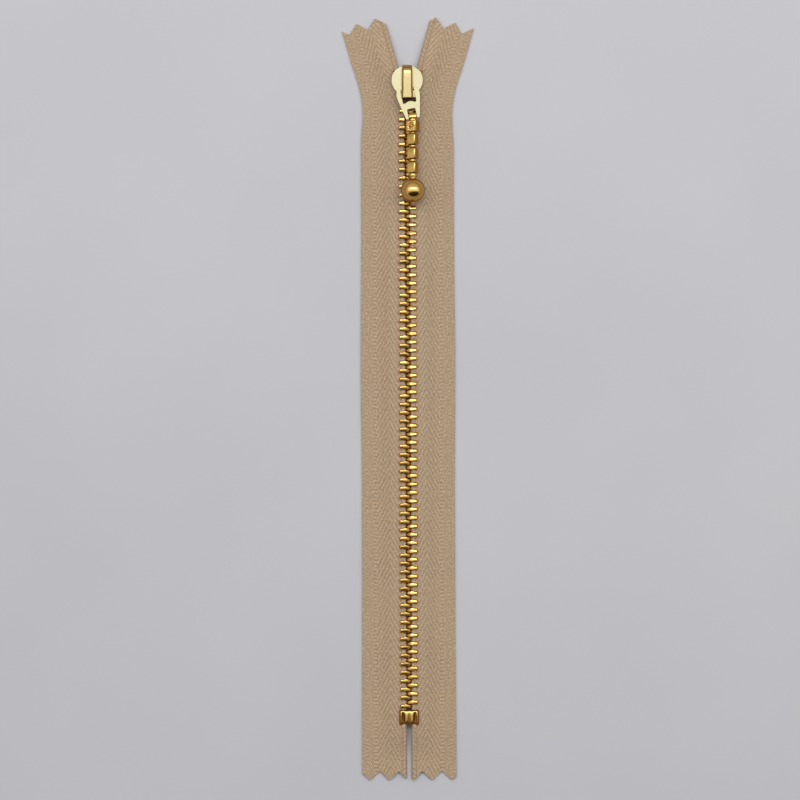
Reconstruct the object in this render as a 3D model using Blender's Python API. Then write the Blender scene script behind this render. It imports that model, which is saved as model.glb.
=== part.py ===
"""A closed-end metal zipper, closed and lying flat on z = 0, with its slider at +Y and its face up.

Each stringer (a tape with its bead cord and teeth) is cut into stretches that hinge about Z on the
bead cord, so that it can swing out as the slider runs down. The last stretch, above the slider,
lies splayed at rest. Right-hand shapes are modelled at +X and mirrored for the left.
"""

import math

import bmesh
import bpy
from mathutils import Matrix, Vector

MM = 0.001
GAP = 0.15 * MM  # between pieces that touch on the real zipper
THROUGH = 1.0 * MM  # how far a cutter runs past the faces that it cuts

# Tape: level at the chain's height beside the teeth, then down to the table
TAPE_THICKNESS = 0.55 * MM
TAPE_OUTER_X = 12.6 * MM
TAPE_FLAT_X = 8.6 * MM
TAPE_SHELF_X = 4.4 * MM
TAPE_CHAIN_X = 2.65 * MM
TAPE_INNER_X = 0.65 * MM
TAPE_TOP_Y = 103.9 * MM
TAPE_BOTTOM_Y = -102.9 * MM
PINKING_PITCH = 5.2 * MM
PINKING_DEPTH = 2.4 * MM
PINKED_TIP_X = {
    "left_top": 3.2 * MM,
    "right_top": 2.2 * MM,
    "left_bottom": 0.15 * MM,
    "right_bottom": 1.0 * MM,
}

# Chain
CHAIN_Z = 2.1 * MM
TOOTH_PITCH = 2.26 * MM
TOOTH_HEIGHT = 2.4 * MM
TOOTH_HEAD_X = -0.6 * MM
TOOTH_WAIST_X = 0.9 * MM
TOOTH_HEEL_X = 2.45 * MM
TOOTH_TIP_WIDTH = 0.7 * MM
TOOTH_HEAD_WIDTH = 0.92 * MM
TOOTH_HEEL_WIDTH = 1.14 * MM
BEAD_X = 1.45 * MM
BEAD_WIDTH = 1.0 * MM
BEAD_HEIGHT = 1.1 * MM
FIRST_TOOTH_Y = -82.9 * MM
# Teeth of the left row below each hinge, counted to the middle of the gap that the hinge sits in
HINGES_AFTER_TOOTH = (1.5, 9.5, 23.5, 43.5, 73.5)
TAIL_TEETH = 2
SPLAY = math.radians(15.5)

# Stops
BOTTOM_STOP_TOP_Y = -83.6 * MM
BOTTOM_STOP_LENGTH = 4.4 * MM
BOTTOM_STOP_WIDTH = 5.5 * MM
TOP_STOP_LENGTH = 1.7 * MM
TOP_STOP_GAP = 0.1 * MM  # to the last tooth of the left row
TOP_STOP_WIDTH = 1.9 * MM
TOP_STOP_BEVEL = 0.2 * MM
BOTTOM_STOP_BEVEL = 0.35 * MM
CREASE_RADIUS = 0.35 * MM
CREASE_RISE = 0.1 * MM  # of its centre over the stop's top

# Slider
SLIDER_REAR_Y = 81.1 * MM
SLIDER_REAR_WIDTH = 5.7 * MM
SLIDER_WAIST_LENGTH = 1.3 * MM
SHOULDER_RADIUS = 4.15 * MM
SHOULDER_CENTRE_Y = 85.9 * MM
SHOULDER_START = math.radians(-35)
PLATE_THICKNESS = 0.7 * MM
PLATE_CHAMFER = 0.15 * MM
SLIDER_HEIGHT = 4.2 * MM
TAPE_SLOT_HEIGHT = 1.1 * MM
FLANGE_THICKNESS = 0.38 * MM
CHANNEL_CLEARANCE = 0.1 * MM
POST_TIP_Y = 86.1 * MM

# Crown, the bridge that holds the pull link and hides the lock
CROWN_REAR_Y = 81.2 * MM
CROWN_FRONT_Y = 89.7 * MM
CROWN_WIDTH = 2.7 * MM
CROWN_TOP_Z = 6.8 * MM
CROWN_WALL = 0.3 * MM
CROWN_FRONT_WALL = 1.0 * MM
CROWN_ARCH = 0.55  # rise of the round top over its half width
CROWN_WINDOW_LENGTH = 1.8 * MM
WINDOW_HEADROOM = 0.1 * MM
CROWN_SEAT_GAP = 0.05 * MM

# Lock pawl: a spring strip under the crown, with a prong down through the slider's top plate
PAWL_HINGE_Y = 88.5 * MM
PAWL_Z = 5.67 * MM
PAWL_THICKNESS = 0.25 * MM
PAWL_WIDTH = 1.6 * MM
PRONG_X = 0.87 * MM
PRONG_Y = 82.08 * MM
PRONG_WIDTH = 0.3 * MM
PRONG_LENGTH = 0.4 * MM
PRONG_TIP_Z = 3.0 * MM
PRONG_HOLE_WIDTH = 0.64 * MM
PRONG_HOLE_LENGTH = 0.84 * MM
PAWL_LIFT_ROOM = 0.4 * MM

# Pull link, lying yawed on the slider; its own frame has the hinge at 0 and the link down -Y
LINK_HINGE_Y = 83.2 * MM
LINK_Z = 5.0 * MM
LINK_YAW = math.radians(11.5)
LINK_THICKNESS = 0.9 * MM
LINK_TOP_WIDTH = 6.2 * MM
LINK_BOTTOM_WIDTH = 3.8 * MM
LINK_LENGTH = 7.8 * MM
LINK_SHOULDER = 1.3 * MM
LINK_HEAD_SHARE = 0.84  # crossbar width over the link's widest
BAR_ROOT = 0.3 * MM  # how far a bar runs into each arm
CROWN_SLOT_WIDTH = 3.7 * MM
CROWN_SLOT_LENGTH = 3.5 * MM
EYE_SLOT_WIDTH = 2.3 * MM
EYE_SLOT_START = 5.1 * MM
STICK_HINGE = 7.35 * MM
LINK_BAR_RADIUS = 0.4 * MM

# Pull stick, measured from the link's lower bar, rising a little to lie on the chain
STICK_RISE = math.radians(4.7)
STICK_ROLL = math.radians(-28)
EYE_INNER_RADIUS = 0.55 * MM
EYE_OUTER_RADIUS = 1.0 * MM
EYE_WIDTH = 1.8 * MM
NECK_START = 0.75 * MM
KNOB_START = 1.05 * MM
KNOB_END = 3.95 * MM
KNOB_WIDTH = 3.15 * MM
FACET_START = 4.8 * MM
FACET_PITCH = 3.85 * MM
FACET_LENGTH = 2.75 * MM
FACET_WIDTH = 2.35 * MM
FACETS = 3
RING_WIDTH = 1.75 * MM
COLLAR_START = 15.6 * MM
COLLAR_WIDTH = 2.5 * MM
BALL_CENTRE = 19.95 * MM
BALL_RADIUS = 3.3 * MM
CAST_EDGE = 0.25 * MM
NECK_WIDTH = 1.4 * MM

BRASS = (0.80, 0.56, 0.22)
PALE_BRASS = (0.91, 0.80, 0.52)
STEEL = (0.60, 0.58, 0.55)
WOVEN = (0.47, 0.35, 0.25)

ROUND_CORNER = math.tan(math.radians(22.5))  # corner offset that makes an eight-sided ring regular
SQUARE_CORNER = 0.8
KNOB_CORNER = 0.5


def clear_scene():
    for obj in list(bpy.data.objects):
        bpy.data.objects.remove(obj, do_unlink=True)


# Meshes


def loft(bm, rings):
    """One closed skin through rings of equal point counts, capped at both ends."""
    loops = [[bm.verts.new(point) for point in ring] for ring in rings]
    count = len(loops[0])
    for low, high in zip(loops, loops[1:]):
        for here in range(count):
            after = (here + 1) % count
            bm.faces.new((low[here], low[after], high[after], high[here]))
    bm.faces.new(list(reversed(loops[0])))
    bm.faces.new(loops[-1])


def prism(bm, outline, low, high):
    """A plan outline of (x, y) points, raised from z = low to z = high."""
    loft(bm, [[Vector((x, y, z)) for x, y in outline] for z in (low, high)])


def box(bm, low, high):
    outline = [(low[0], low[1]), (high[0], low[1]), (high[0], high[1]), (low[0], high[1])]
    prism(bm, outline, low[2], high[2])


def bar(bm, start, end, radius, sides=12):
    """A round bar between two points."""
    along = Vector(end) - Vector(start)
    turn = along.to_track_quat("Z", "Y").to_matrix().to_4x4()
    place = Matrix.Translation((Vector(start) + Vector(end)) / 2) @ turn
    bmesh.ops.create_cone(
        bm, cap_ends=True, segments=sides, radius1=radius, radius2=radius, depth=along.length, matrix=place
    )


def mirrored(outline):
    """A right-hand outline from the rear to the front, closed with its mirror image."""
    return outline + [(-x, y) for x, y in reversed(outline) if x > 0]


# Objects and bodies


def material(name, colour, roughness, metallic=1.0):
    made = bpy.data.materials.new(name)
    made.use_nodes = True
    shader = made.node_tree.nodes["Principled BSDF"]
    shader.inputs["Base Color"].default_value = (*colour, 1.0)
    shader.inputs["Roughness"].default_value = roughness
    shader.inputs["Metallic"].default_value = metallic
    return made


def body(name, joint, yaw=0.0, parent=None):
    """An empty on a joint. The pieces that move with the joint are its children."""
    empty = bpy.data.objects.new(name, None)
    bpy.context.scene.collection.objects.link(empty)
    empty.parent = parent
    empty.location = joint
    empty.rotation_euler.z = yaw
    return empty


def piece(name, bm, parent=None, finish=None):
    bmesh.ops.recalc_face_normals(bm, faces=bm.faces)
    mesh = bpy.data.meshes.new(name)
    bm.to_mesh(mesh)
    bm.free()
    obj = bpy.data.objects.new(name, mesh)
    obj.parent = parent
    bpy.context.scene.collection.objects.link(obj)
    if finish is not None:
        mesh.materials.append(finish)
        mesh.shade_smooth()
        mesh.set_sharp_from_angle(angle=math.radians(35))
    return obj


def combine(obj, tool_bm, operation):
    """A Boolean with a hidden tool in the same place as the object."""
    tool = piece(f"{obj.name}_{operation.lower()}", tool_bm, obj.parent)
    tool.hide_render = True
    tool.display_type = "WIRE"
    modifier = obj.modifiers.new(tool.name, "BOOLEAN")
    modifier.operation = operation
    modifier.solver = "EXACT"
    modifier.object = tool


# Tape


def tape_middle_z(x):
    lying = TAPE_THICKNESS / 2
    share = (x - TAPE_SHELF_X) / (TAPE_FLAT_X - TAPE_SHELF_X)
    return CHAIN_Z + (lying - CHAIN_Z) * min(max(share, 0.0), 1.0)


def pinked(x, tip_x):
    """0 at a pinked tip and the full depth at a notch."""
    turns = (x - tip_x) / PINKING_PITCH
    return PINKING_DEPTH * 2 * abs(turns - round(turns))


def pinked_columns(tip_x):
    half = PINKING_PITCH / 2
    corners = [tip_x + half * step for step in range(6)]
    return [x for x in corners if TAPE_INNER_X < x < TAPE_OUTER_X]


def tape(name, sign, joint, columns, start_y, end_y, parent=None):
    """A stretch of tape. start_y and end_y give its ends at each x, and joint is its own origin."""
    bm = bmesh.new()
    breaks = {TAPE_SHELF_X, TAPE_FLAT_X, TAPE_OUTER_X}
    half = TAPE_THICKNESS / 2
    rings = []
    for x in sorted(set(columns) | breaks):
        z = tape_middle_z(x)
        start, end = start_y(x), end_y(x)
        corners = ((start, z - half), (end, z - half), (end, z + half), (start, z + half))
        rings.append([Vector((sign * x, y, z)) - joint for y, z in corners])
    loft(bm, rings)
    return piece(name, bm, parent, material(name, WOVEN, 0.9, 0.0))


# Teeth


def hinge_ys(side):
    """Where the stringer hinges, each in the gap between two teeth of its own row."""
    half_step = 0.5 if side == "right" else 0.0
    return [FIRST_TOOTH_Y + (after - half_step) * TOOTH_PITCH for after in HINGES_AFTER_TOOTH]


def tooth_outline(sign, y):
    half_widths = (
        (TOOTH_HEAD_X, TOOTH_TIP_WIDTH / 2),
        (TOOTH_WAIST_X, TOOTH_HEAD_WIDTH / 2),
        (TOOTH_HEEL_X, TOOTH_HEEL_WIDTH / 2),
    )
    front = [(sign * x, y + half) for x, half in half_widths]
    rear = [(sign * x, y - half) for x, half in reversed(half_widths)]
    return front + rear


def teeth_row(name, sign, joint, start_y, end_y, parent=None):
    """A stretch of bead cord with its teeth, which it makes one solid. Ends are halfway between teeth."""
    first_y = FIRST_TOOTH_Y + (TOOTH_PITCH / 2 if sign > 0 else 0.0)
    half = TOOTH_HEIGHT / 2
    teeth = bmesh.new()
    first = math.ceil((start_y - first_y) / TOOTH_PITCH)
    last = math.floor((end_y - first_y) / TOOTH_PITCH)
    for number in range(max(first, 0), last + 1):
        outline = tooth_outline(sign, first_y + number * TOOTH_PITCH)
        prism(teeth, outline, CHAIN_Z - half, CHAIN_Z + half)
    bmesh.ops.translate(teeth, verts=teeth.verts, vec=-joint)
    bead = bmesh.new()
    middle = sign * BEAD_X
    low = Vector((middle - BEAD_WIDTH / 2, start_y + GAP, CHAIN_Z - BEAD_HEIGHT / 2))
    high = Vector((middle + BEAD_WIDTH / 2, end_y - GAP, CHAIN_Z + BEAD_HEIGHT / 2))
    box(bead, low - joint, high - joint)
    row = piece(name, bead, parent, material(name, BRASS, 0.3))
    combine(row, teeth, "UNION")


def top_stop(side, sign, joint, y, parent):
    bm = bmesh.new()
    half = TOOTH_HEIGHT / 2
    middle = sign * BEAD_X
    low = Vector((middle - TOP_STOP_WIDTH / 2, y, CHAIN_Z - half))
    high = Vector((middle + TOP_STOP_WIDTH / 2, y + TOP_STOP_LENGTH, CHAIN_Z + half))
    box(bm, low - joint, high - joint)
    bmesh.ops.bevel(bm, geom=bm.edges[:], offset=TOP_STOP_BEVEL, segments=1, affect="EDGES")
    piece(f"{side}_top_stop", bm, parent, material(f"{side}_top_stop", BRASS, 0.3))


# Stringers


def stringer(side, sign):
    """One stringer, from its fixed foot beside the bottom stop to its splayed tail."""
    hinges = hinge_ys(side)
    here = Vector((0.0, 0.0, 0.0))
    stop_foot_y = BOTTOM_STOP_TOP_Y - BOTTOM_STOP_LENGTH
    step = (BOTTOM_STOP_WIDTH / 2 + GAP, BOTTOM_STOP_WIDTH / 2 + 2 * GAP)
    tip_x = PINKED_TIP_X[f"{side}_bottom"]
    tape(
        f"{side}_tape_foot",
        sign,
        here,
        [TAPE_INNER_X, *step, *pinked_columns(tip_x)],
        lambda x: TAPE_BOTTOM_Y + pinked(x, tip_x),
        lambda x: hinges[0] - GAP if x > step[0] else stop_foot_y - GAP,
    )
    teeth_row(f"{side}_teeth_foot", sign, here, BOTTOM_STOP_TOP_Y, hinges[0])
    mitre = math.tan(SPLAY / 2)
    parent = None
    from_joint = here
    for number, (low, high) in enumerate(zip(hinges, hinges[1:]), start=1):
        joint = Vector((sign * BEAD_X, low, CHAIN_Z))
        parent = body(f"{side}_stretch_{number}", joint - from_joint, parent=parent)
        slant = mitre if high == hinges[-1] else 0.0
        tape(
            f"{side}_tape_{number}",
            sign,
            joint,
            [TAPE_CHAIN_X],
            lambda x: low + GAP,
            lambda x: high - GAP - (x - BEAD_X) * slant,
            parent,
        )
        teeth_row(f"{side}_teeth_{number}", sign, joint, low, high, parent)
        from_joint = joint
    tail(side, sign, hinges[-1], from_joint, parent)


def tail(side, sign, hinge_y, from_joint, parent):
    """The stretch above the slider, modelled straight and turned out by its empty."""
    joint = Vector((sign * BEAD_X, hinge_y, CHAIN_Z))
    turned = body(f"{side}_tail", joint - from_joint, yaw=-sign * SPLAY, parent=parent)
    last_tooth_y = hinge_ys("left")[-1] + (TAIL_TEETH - 0.5) * TOOTH_PITCH
    stop_y = last_tooth_y + TOOTH_HEEL_WIDTH / 2 + TOP_STOP_GAP
    stop_end_y = stop_y + TOP_STOP_LENGTH
    mitre = math.tan(SPLAY / 2)
    step = (TAPE_CHAIN_X, TAPE_CHAIN_X + GAP)
    tip_x = PINKED_TIP_X[f"{side}_top"]
    tape(
        f"{side}_tape_tail",
        sign,
        joint,
        [TAPE_INNER_X, *step, *pinked_columns(tip_x)],
        lambda x: hinge_y + GAP + (x - BEAD_X) * mitre if x > step[0] else stop_end_y + GAP,
        lambda x: TAPE_TOP_Y - pinked(x, tip_x),
        turned,
    )
    teeth_row(f"{side}_teeth_tail", sign, joint, hinge_y, stop_y, turned)
    top_stop(side, sign, joint, stop_y, turned)


def bottom_stop():
    bm = bmesh.new()
    half_width = BOTTOM_STOP_WIDTH / 2
    half_height = TOOTH_HEIGHT / 2
    foot_y = BOTTOM_STOP_TOP_Y - BOTTOM_STOP_LENGTH
    low = (-half_width, foot_y, CHAIN_Z - half_height)
    high = (half_width, BOTTOM_STOP_TOP_Y - GAP, CHAIN_Z + half_height)
    box(bm, low, high)
    bmesh.ops.bevel(bm, geom=bm.edges[:], offset=BOTTOM_STOP_BEVEL, segments=2, affect="EDGES")
    obj = piece("bottom_stop", bm, None, material("bottom_stop", BRASS, 0.28))
    crease = bmesh.new()
    crease_z = CHAIN_Z + half_height + CREASE_RISE
    rear = (0, foot_y - THROUGH, crease_z)
    bar(crease, rear, (0, BOTTOM_STOP_TOP_Y + THROUGH, crease_z), CREASE_RADIUS, 8)
    combine(obj, crease, "DIFFERENCE")


# Slider


def slider_outline(inset):
    """The plate from above: a straight rear, a waist and round shoulders."""
    half = SLIDER_REAR_WIDTH / 2 - inset
    right = [(half, SLIDER_REAR_Y + inset), (half, SLIDER_REAR_Y + SLIDER_WAIST_LENGTH)]
    radius = SHOULDER_RADIUS - inset
    steps = 10
    for step in range(steps + 1):
        angle = SHOULDER_START + (math.pi / 2 - SHOULDER_START) * step / steps
        x = radius * math.cos(angle) if step < steps else 0.0
        right.append((x, SHOULDER_CENTRE_Y + radius * math.sin(angle)))
    return mirrored(right)


def post_side():
    """The post's right side, from beyond the front of the slider to its tip."""
    front_y = SHOULDER_CENTRE_Y + SHOULDER_RADIUS + THROUGH
    return [((front_y - POST_TIP_Y) * math.tan(SPLAY), front_y), (0.0, POST_TIP_Y)]


def slider_body(parent, joint):
    """Two plates joined by the post, with flanges that guide the teeth and leave slots for the tape."""
    bm = bmesh.new()
    levels = (
        (0.0, PLATE_CHAMFER),
        (PLATE_CHAMFER, 0.0),
        (SLIDER_HEIGHT - PLATE_CHAMFER, 0.0),
        (SLIDER_HEIGHT, PLATE_CHAMFER),
    )
    loft(bm, [[Vector((x, y, z)) - joint for x, y in slider_outline(inset)] for z, inset in levels])
    obj = piece("slider_body", bm, parent, material("slider_body", PALE_BRASS, 0.22))

    wide = SHOULDER_RADIUS + 2 * THROUGH
    flange = FLANGE_THICKNESS
    channel_half = TOOTH_HEEL_X + CHANNEL_CLEARANCE
    behind = SLIDER_REAR_Y - THROUGH
    right = [
        (channel_half, behind),
        (channel_half, SLIDER_REAR_Y + SLIDER_WAIST_LENGTH),
        (SHOULDER_RADIUS - 2 * flange, SHOULDER_CENTRE_Y - 0.4 * SHOULDER_RADIUS),
        (SHOULDER_RADIUS - flange, SHOULDER_CENTRE_Y),
        (wide, SHOULDER_CENTRE_Y + 0.45 * SHOULDER_RADIUS),
        (wide, SHOULDER_CENTRE_Y + SHOULDER_RADIUS + THROUGH),
    ]
    channel = bmesh.new()
    prism(channel, mirrored(right + post_side()), PLATE_THICKNESS, SLIDER_HEIGHT - PLATE_THICKNESS)
    bmesh.ops.translate(channel, verts=channel.verts, vec=-joint)
    combine(obj, channel, "DIFFERENCE")

    slot = bmesh.new()
    front = SHOULDER_CENTRE_Y + SHOULDER_RADIUS + THROUGH
    sides = [(wide, behind), (wide, front)]
    half = TAPE_SLOT_HEIGHT / 2
    prism(slot, mirrored(sides + post_side()), CHAIN_Z - half, CHAIN_Z + half)
    hole_half = Vector((PRONG_HOLE_WIDTH / 2, PRONG_HOLE_LENGTH / 2, 0.0))
    middle = Vector((PRONG_X, PRONG_Y, 0.0))
    low = middle - hole_half + Vector((0, 0, PRONG_TIP_Z))
    high = middle + hole_half + Vector((0, 0, SLIDER_HEIGHT + THROUGH))
    box(slot, low, high)
    bmesh.ops.translate(slot, verts=slot.verts, vec=-joint)
    combine(obj, slot, "DIFFERENCE")


def crown_arch(y, width, top_z):
    """The crown's outer section: upright sides under a round top."""
    base_z = SLIDER_HEIGHT + CROWN_SEAT_GAP
    half = width / 2
    spring_z = top_z - half * CROWN_ARCH
    points = [(half, base_z), (half, spring_z)]
    steps = 6
    for step in range(1, steps):
        angle = math.pi * step / steps
        points.append((half * math.cos(angle), spring_z + (top_z - spring_z) * math.sin(angle)))
    points += [(-half, spring_z), (-half, base_z)]
    return [Vector((x, y, z)) for x, z in points]


def crown(parent, joint):
    """A hollow barrel, open below and behind, with a window each side for the link's top bar."""
    length = CROWN_FRONT_Y - CROWN_REAR_Y
    # Share of the length from the rear, width against the full width, and how far the top is down
    sections = ((0, 0.95, 0.15 * MM), (0.06, 1, 0), (0.9, 1, 0.1 * MM), (1, 0.88, 0.6 * MM))
    rings = []
    for share, narrow, down in sections:
        y = CROWN_REAR_Y + length * share
        rings.append(crown_arch(y, CROWN_WIDTH * narrow, CROWN_TOP_Z - down))
    bm = bmesh.new()
    loft(bm, rings)
    bmesh.ops.translate(bm, verts=bm.verts, vec=-joint)
    obj = piece("crown_cap", bm, parent, material("crown_cap", PALE_BRASS, 0.25))

    hollow = bmesh.new()
    half = CROWN_WIDTH / 2 - CROWN_WALL
    low = (-half, CROWN_REAR_Y - THROUGH, SLIDER_HEIGHT - THROUGH)
    high = (half, CROWN_FRONT_Y - CROWN_FRONT_WALL, PAWL_Z + PAWL_THICKNESS / 2 + PAWL_LIFT_ROOM)
    box(hollow, low, high)
    bmesh.ops.translate(hollow, verts=hollow.verts, vec=-joint)
    combine(obj, hollow, "DIFFERENCE")

    windows = bmesh.new()
    window = CROWN_WINDOW_LENGTH / 2
    low = (-CROWN_WIDTH, LINK_HINGE_Y - window, SLIDER_HEIGHT - THROUGH)
    high = (CROWN_WIDTH, LINK_HINGE_Y + window, LINK_Z + LINK_BAR_RADIUS + WINDOW_HEADROOM)
    box(windows, low, high)
    bmesh.ops.translate(windows, verts=windows.verts, vec=-joint)
    combine(obj, windows, "DIFFERENCE")


def lock_pawl(parent, joint):
    strip = bmesh.new()
    half = PAWL_THICKNESS / 2
    rear_y = PRONG_Y - PRONG_LENGTH / 2
    low = Vector((-PAWL_WIDTH / 2, rear_y, PAWL_Z - half))
    high = Vector((PAWL_WIDTH / 2, PAWL_HINGE_Y, PAWL_Z + half))
    box(strip, low - joint, high - joint)
    obj = piece("lock_pawl", strip, parent, material("lock_pawl", STEEL, 0.35))
    prong = bmesh.new()
    prong_low = Vector((PRONG_X - PRONG_WIDTH / 2, rear_y, PRONG_TIP_Z))
    prong_high = Vector((PRONG_X + PRONG_WIDTH / 2, rear_y + PRONG_LENGTH, PAWL_Z))
    box(prong, prong_low - joint, prong_high - joint)
    combine(obj, prong, "UNION")


# Pull


def pull_link(parent):
    """Two tapering arms and a crossbar, with round bars at both ends, in the link's own frame."""
    top, bottom = LINK_TOP_WIDTH / 2, LINK_BOTTOM_WIDTH / 2
    above = LINK_BAR_RADIUS
    right = [(bottom, -LINK_LENGTH), (top, -LINK_SHOULDER), (top * LINK_HEAD_SHARE, above)]
    outline = right + [(-x, y) for x, y in reversed(right)]
    half = LINK_THICKNESS / 2
    bm = bmesh.new()
    prism(bm, outline, -half, half)
    obj = piece("pull_link", bm, parent, material("pull_link", PALE_BRASS, 0.22))

    slots = bmesh.new()
    crown_half, eye_half = CROWN_SLOT_WIDTH / 2, EYE_SLOT_WIDTH / 2
    box(slots, (-crown_half, -CROWN_SLOT_LENGTH, -THROUGH), (crown_half, THROUGH, THROUGH))
    box(slots, (-eye_half, -LINK_LENGTH - THROUGH, -THROUGH), (eye_half, -EYE_SLOT_START, THROUGH))
    combine(obj, slots, "DIFFERENCE")

    bars = bmesh.new()
    reach = CROWN_SLOT_WIDTH / 2 + BAR_ROOT
    bar(bars, (-reach, 0, 0), (reach, 0, 0), LINK_BAR_RADIUS)
    reach = EYE_SLOT_WIDTH / 2 + BAR_ROOT
    bar(bars, (-reach, -STICK_HINGE, 0), (reach, -STICK_HINGE, 0), LINK_BAR_RADIUS)
    combine(obj, bars, "UNION")


def stick_ring(along, width, corner):
    """An eight-sided ring across the stick, rolled about it."""
    half = width / 2
    inner = half * corner
    points = ((half, -inner), (half, inner), (inner, half), (-inner, half))
    points += tuple((-x, -z) for x, z in points)
    turn = Matrix.Rotation(STICK_ROLL, 3, "Y")
    return [turn @ Vector((x, -along, z)) for x, z in points]


def stick_rings():
    """The casting from the neck to inside the ball: knob, facets with rings between, and collar."""
    edge = CAST_EDGE
    rings = [stick_ring(NECK_START, NECK_WIDTH, ROUND_CORNER)]
    rings.append(stick_ring(KNOB_START, NECK_WIDTH, ROUND_CORNER))
    rings.append(stick_ring(KNOB_START + edge, KNOB_WIDTH, KNOB_CORNER))
    rings.append(stick_ring(KNOB_END, KNOB_WIDTH, KNOB_CORNER))
    rings.append(stick_ring(KNOB_END + edge, RING_WIDTH, ROUND_CORNER))
    for number in range(FACETS):
        start = FACET_START + number * FACET_PITCH
        end = start + FACET_LENGTH
        rings.append(stick_ring(start, RING_WIDTH, ROUND_CORNER))
        rings.append(stick_ring(start + edge, FACET_WIDTH, SQUARE_CORNER))
        rings.append(stick_ring(end - edge, FACET_WIDTH, SQUARE_CORNER))
        rings.append(stick_ring(end, RING_WIDTH, ROUND_CORNER))
    rings.append(stick_ring(COLLAR_START, RING_WIDTH, ROUND_CORNER))
    rings.append(stick_ring(COLLAR_START + edge, COLLAR_WIDTH, ROUND_CORNER))
    rings.append(stick_ring(BALL_CENTRE - BALL_RADIUS / 2, COLLAR_WIDTH, ROUND_CORNER))
    return rings


def pull_stick(parent):
    """In the link's frame the stick turns back by the link's yaw, and it rises towards the ball."""
    turn = Matrix.Rotation(-LINK_YAW, 4, "Z") @ Matrix.Rotation(-STICK_RISE, 4, "X")
    bm = bmesh.new()
    loft(bm, stick_rings())
    bmesh.ops.transform(bm, matrix=turn, verts=bm.verts)
    obj = piece("pull_stick", bm, parent, material("pull_stick", BRASS, 0.2))

    ball_and_eye = bmesh.new()
    bmesh.ops.create_uvsphere(
        ball_and_eye,
        u_segments=16,
        v_segments=10,
        radius=BALL_RADIUS,
        matrix=turn @ Matrix.Translation((0, -BALL_CENTRE, 0)),
    )
    bar(ball_and_eye, (-EYE_WIDTH / 2, 0, 0), (EYE_WIDTH / 2, 0, 0), EYE_OUTER_RADIUS, 16)
    combine(obj, ball_and_eye, "UNION")

    hole = bmesh.new()
    bar(hole, (-EYE_WIDTH, 0, 0), (EYE_WIDTH, 0, 0), EYE_INNER_RADIUS, 16)
    combine(obj, hole, "DIFFERENCE")


def slider():
    joint = Vector((0.0, SLIDER_REAR_Y, 0.0))
    moving = body("slider", joint)
    slider_body(moving, joint)
    crown(moving, joint)
    pawl_joint = Vector((0.0, PAWL_HINGE_Y, PAWL_Z))
    lock_pawl(body("pawl", pawl_joint - joint, parent=moving), pawl_joint)
    link_joint = Vector((0.0, LINK_HINGE_Y, LINK_Z))
    link = body("link", link_joint - joint, yaw=LINK_YAW, parent=moving)
    pull_link(link)
    pull_stick(body("stick", Vector((0.0, -STICK_HINGE, 0.0)), parent=link))


clear_scene()
for side, sign in (("left", -1), ("right", 1)):
    stringer(side, sign)
bottom_stop()
slider()
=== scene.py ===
"""Looks for the metal zipper: woven tapes, stamped teeth, stops, slider and pull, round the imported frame.

Right-hand shapes are built at +X in millimetres and mirrored for the left. Each stringer is built
straight, cut between the frame's hinges, and its last length is then turned out as the frame's tail is.
"""

import math

import bmesh
import bpy
import numpy as np
from mathutils import Matrix, Vector


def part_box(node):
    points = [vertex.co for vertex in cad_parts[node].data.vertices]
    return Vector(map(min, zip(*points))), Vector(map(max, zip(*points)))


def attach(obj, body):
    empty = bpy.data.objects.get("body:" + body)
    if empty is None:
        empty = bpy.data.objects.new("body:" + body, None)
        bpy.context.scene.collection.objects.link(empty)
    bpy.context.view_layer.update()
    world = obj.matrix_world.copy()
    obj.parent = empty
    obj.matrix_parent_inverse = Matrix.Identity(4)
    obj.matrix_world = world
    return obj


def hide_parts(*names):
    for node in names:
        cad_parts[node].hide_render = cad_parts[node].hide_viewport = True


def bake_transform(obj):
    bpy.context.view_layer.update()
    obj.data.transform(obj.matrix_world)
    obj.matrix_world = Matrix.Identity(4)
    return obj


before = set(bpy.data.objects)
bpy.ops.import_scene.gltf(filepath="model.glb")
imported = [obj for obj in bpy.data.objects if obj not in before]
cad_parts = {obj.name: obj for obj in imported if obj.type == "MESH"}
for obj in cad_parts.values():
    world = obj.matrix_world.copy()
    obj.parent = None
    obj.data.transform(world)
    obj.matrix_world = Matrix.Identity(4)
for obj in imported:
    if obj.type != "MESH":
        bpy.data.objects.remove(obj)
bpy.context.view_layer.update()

MM = 0.001
SIDES = (("left", -1), ("right", 1))

# Chain, as the frame has it
PITCH = 2.26
FIRST_TOOTH = -82.9
CHAIN_Z = 2.1
BEAD_X = 1.45
SPLAY = math.radians(15.5)
HINGE_AFTER = (1.5, 9.5, 23.5, 43.5, 73.5)
CHAIN_TEETH = 74
TAIL_TEETH = 2
TAPE_BOTTOM = -102.9
TAPE_TOP = 103.9

# Each length of stringer: its lower and upper end, and where it bends across its hinge
LENGTHS = (
    (TAPE_BOTTOM, -73.0, -84.0, -76.0),
    (-73.0, -43.0, -70.0, -54.0),
    (-43.0, -1.0, -42.0, -18.0),
    (-1.0, 45.0, 0.0, 30.0),
    (45.0, TAPE_TOP, 76.0, 89.0),
)
TURN_EARLIER = 9.0
TURN_LATER = 7.0

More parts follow.
